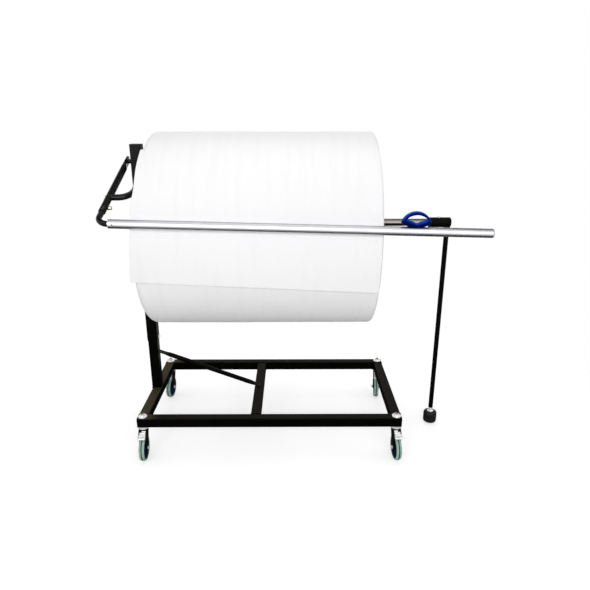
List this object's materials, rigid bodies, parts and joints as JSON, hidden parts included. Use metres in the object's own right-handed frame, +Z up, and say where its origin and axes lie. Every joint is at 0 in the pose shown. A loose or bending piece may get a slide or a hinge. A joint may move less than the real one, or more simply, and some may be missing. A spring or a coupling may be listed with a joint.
{
  "type": "bubble wrap dispenser",
  "caption": "Wheeled floor stand that carries a wide roll of bubble wrap on a cantilever shaft, with a prop leg, a swing-up arm and a slotted bar with a sliding hand cutter.",
  "frame": {"origin": "on the floor under the middle of the base rails", "axes": "+X along the roll shaft from the mast to the prop leg, +Y away from the user, +Z up"},
  "size_m": [1.9151, 1.1548, 1.8344],
  "materials": {
    "frame_paint": "dark grey powder coat",
    "black_paint": "black powder coat",
    "fork_paint": "dark grey coated pressed steel",
    "zinc": "bright zinc plated steel",
    "steel": "plain steel",
    "aluminium": "satin drawn aluminium",
    "blade_steel": "ground blade steel",
    "black_plastic": "moulded black plastic",
    "hub_plastic": "moulded blue-black nylon",
    "blue_plastic": "glossy moulded blue plastic",
    "wrap": "milky clear bubble film",
    "kraft": "spiral wound kraft board",
    "rubber": "grey-black rubber"
  },
  "bodies": {
    "stand": {"front_rail": "frame_paint", "rear_rail": "frame_paint", "left_end_tube": "frame_paint", "right_end_tube": "frame_paint", "centre_tube": "frame_paint", "rail_plugs": "black_plastic", "upright": "frame_paint", "mast_sleeve": "frame_paint", "mast_cap": "black_plastic", "mast_bolt": "zinc", "strut": "frame_paint", "shaft_socket": "frame_paint", "shaft": "steel", "web_tail": "wrap", "pivot_bolt": "steel", "pivot_spacers": "zinc", "castor_heads": "zinc", "corner_washers": "zinc", "corner_nuts": "zinc"},
    "roll": {"paper_core": "kraft", "wrap_roll": "wrap"},
    "arm": {"arm_tube": "frame_paint", "yoke_leg": "frame_paint", "arm_bolt": "zinc"},
    "clamp_screw": {"thumbscrew": "zinc"},
    "bar": {"elbow_tube": "frame_paint", "bar_bush": "black_plastic", "bar_rivets": "aluminium", "cutter_bar": "aluminium", "bar_cap": "black_plastic"},
    "cutter": {"cutter_runner": "black_plastic", "cutter_handle": "blue_plastic", "cutter_blade": "blade_steel"},
    "leg": {"leg_sleeve": "black_paint", "leg_set_screw": "zinc", "leg_tube": "black_paint", "leg_insert": "steel"},
    "foot": {"foot_stud": "zinc", "foot_nut": "zinc", "rubber_foot": "rubber"},
    "castor_fl": {"fork_fl": "fork_paint", "axle_fl": "zinc"},
    "wheel_fl": {"hub_fl": "hub_plastic", "tyre_fl": "rubber"},
    "brake_fl": {"pedal_fl": "zinc"},
    "castor_fr": {"fork_fr": "fork_paint", "axle_fr": "zinc"},
    "wheel_fr": {"hub_fr": "hub_plastic", "tyre_fr": "rubber"},
    "brake_fr": {"pedal_fr": "zinc"},
    "castor_rl": {"fork_rl": "fork_paint", "axle_rl": "zinc"},
    "wheel_rl": {"hub_rl": "hub_plastic", "tyre_rl": "rubber"},
    "brake_rl": {"pedal_rl": "zinc"},
    "castor_rr": {"fork_rr": "fork_paint", "axle_rr": "zinc"},
    "wheel_rr": {"hub_rr": "hub_plastic", "tyre_rr": "rubber"},
    "brake_rr": {"pedal_rr": "zinc"}
  },
  "joints": [
    {"name": "roll_spin", "type": "hinge", "parent": "stand", "child": "roll", "pos_m": [0, 0, 1.2874], "axis": [1, 0, 0], "continuous": true},
    {"name": "arm_lift", "type": "hinge", "parent": "stand", "child": "arm", "pos_m": [-0.79525, 0, 1.673], "axis": [-1, 0, 0], "range_deg": [0, 80]},
    {"name": "thumbscrew_turn", "type": "hinge", "parent": "arm", "child": "clamp_screw", "pos_m": [-0.76525, -0.45523, 1.48117], "axis": [1, 0, 0], "continuous": true},
    {"name": "bar_reach", "type": "slide", "parent": "arm", "child": "bar", "axis": [0, -0.9215, -0.3883], "range_m": [0, 0.08]},
    {"name": "cutter_run", "type": "slide", "parent": "bar", "child": "cutter", "axis": [0.9997, 0, -0.026], "range_m": [-1.328, 0.293]},
    {"name": "leg_slide", "type": "slide", "parent": "stand", "child": "leg", "axis": [1, 0, 0], "range_m": [0, 0.08]},
    {"name": "foot_turn", "type": "hinge", "parent": "leg", "child": "foot", "pos_m": [1.04, 0, 0], "axis": [0, 0, 1], "continuous": true},
    {"name": "swivel_fl", "type": "hinge", "parent": "stand", "child": "castor_fl", "pos_m": [-0.7365, -0.373, 0.205], "axis": [0, 0, 1], "continuous": true},
    {"name": "wheel_roll_fl", "type": "hinge", "parent": "castor_fl", "child": "wheel_fl", "pos_m": [-0.73538, -0.40498, 0.075], "axis": [0.9994, 0.0349, 0], "continuous": true},
    {"name": "brake_press_fl", "type": "hinge", "parent": "castor_fl", "child": "brake_fl", "pos_m": [-0.73517, -0.41098, 0.1706], "axis": [0.9994, 0.0349, 0], "range_deg": [0, 18]},
    {"name": "swivel_fr", "type": "hinge", "parent": "stand", "child": "castor_fr", "pos_m": [0.7365, -0.373, 0.205], "axis": [0, 0, 1], "continuous": true},
    {"name": "wheel_roll_fr", "type": "hinge", "parent": "castor_fr", "child": "wheel_fr", "pos_m": [0.73929, -0.40488, 0.075], "axis": [0.9962, 0.0872, 0], "continuous": true},
    {"name": "brake_press_fr", "type": "hinge", "parent": "castor_fr", "child": "brake_fr", "pos_m": [0.73981, -0.41086, 0.1706], "axis": [0.9962, 0.0872, 0], "range_deg": [0, 18]},
    {"name": "swivel_rl", "type": "hinge", "parent": "stand", "child": "castor_rl", "pos_m": [-0.7365, 0.373, 0.205], "axis": [0, 0, 1], "continuous": true},
    {"name": "wheel_roll_rl", "type": "hinge", "parent": "castor_rl", "child": "wheel_rl", "pos_m": [-0.73984, 0.34118, 0.075], "axis": [0.9945, -0.1045, 0], "continuous": true},
    {"name": "brake_press_rl", "type": "hinge", "parent": "castor_rl", "child": "brake_rl", "pos_m": [-0.74047, 0.33521, 0.1706], "axis": [0.9945, -0.1045, 0], "range_deg": [0, 18]},
    {"name": "swivel_rr", "type": "hinge", "parent": "stand", "child": "castor_rr", "pos_m": [0.7365, 0.373, 0.205], "axis": [0, 0, 1], "continuous": true},
    {"name": "wheel_roll_rr", "type": "hinge", "parent": "castor_rr", "child": "wheel_rr", "pos_m": [0.73316, 0.34118, 0.075], "axis": [0.9945, -0.1045, 0], "continuous": true},
    {"name": "brake_press_rr", "type": "hinge", "parent": "castor_rr", "child": "brake_rr", "pos_m": [0.73253, 0.33521, 0.1706], "axis": [0.9945, -0.1045, 0], "range_deg": [0, 18]}
  ]
}
